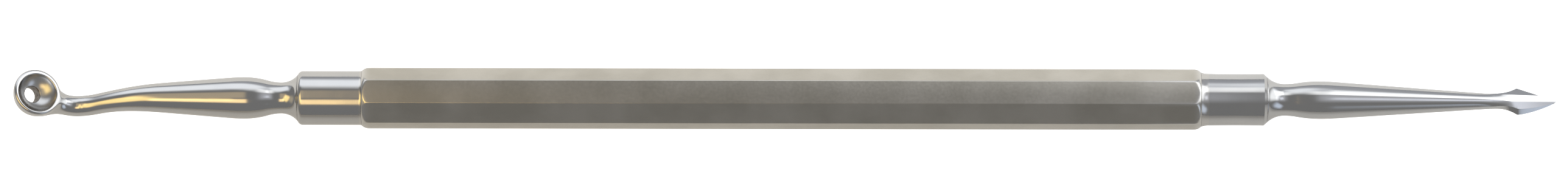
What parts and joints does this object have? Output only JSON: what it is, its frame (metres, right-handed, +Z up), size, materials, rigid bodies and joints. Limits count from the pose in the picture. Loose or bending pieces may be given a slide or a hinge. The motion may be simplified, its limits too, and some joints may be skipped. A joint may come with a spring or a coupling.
{
  "type": "blackhead extractor",
  "caption": "Slim steel skin tool with an octagonal satin handle, a drilled cup on a bent shank at one end and a spear-point lancet at the other.",
  "frame": {"origin": "middle of the handle flat that the tool lies on", "axes": "+X along the tool towards the lancet, +Z up out of the lower flat, +Y to the side that the cup leans to"},
  "size_m": [0.1399, 0.0052, 0.0052],
  "materials": {
    "satin_steel": "satin, finely blasted stainless steel",
    "polished_steel": "mirror-polished stainless steel",
    "silver_braze": "polished silver brazing filler"
  },
  "bodies": {
    "root": {"handle_bar": "satin_steel", "spoon_ferrule": "polished_steel", "lancet_ferrule": "polished_steel", "spoon_shank": "polished_steel", "spoon_cup": "polished_steel", "lancet": "polished_steel", "spoon_braze_ring": "silver_braze", "lancet_braze_ring": "silver_braze"}
  },
  "joints": []
}
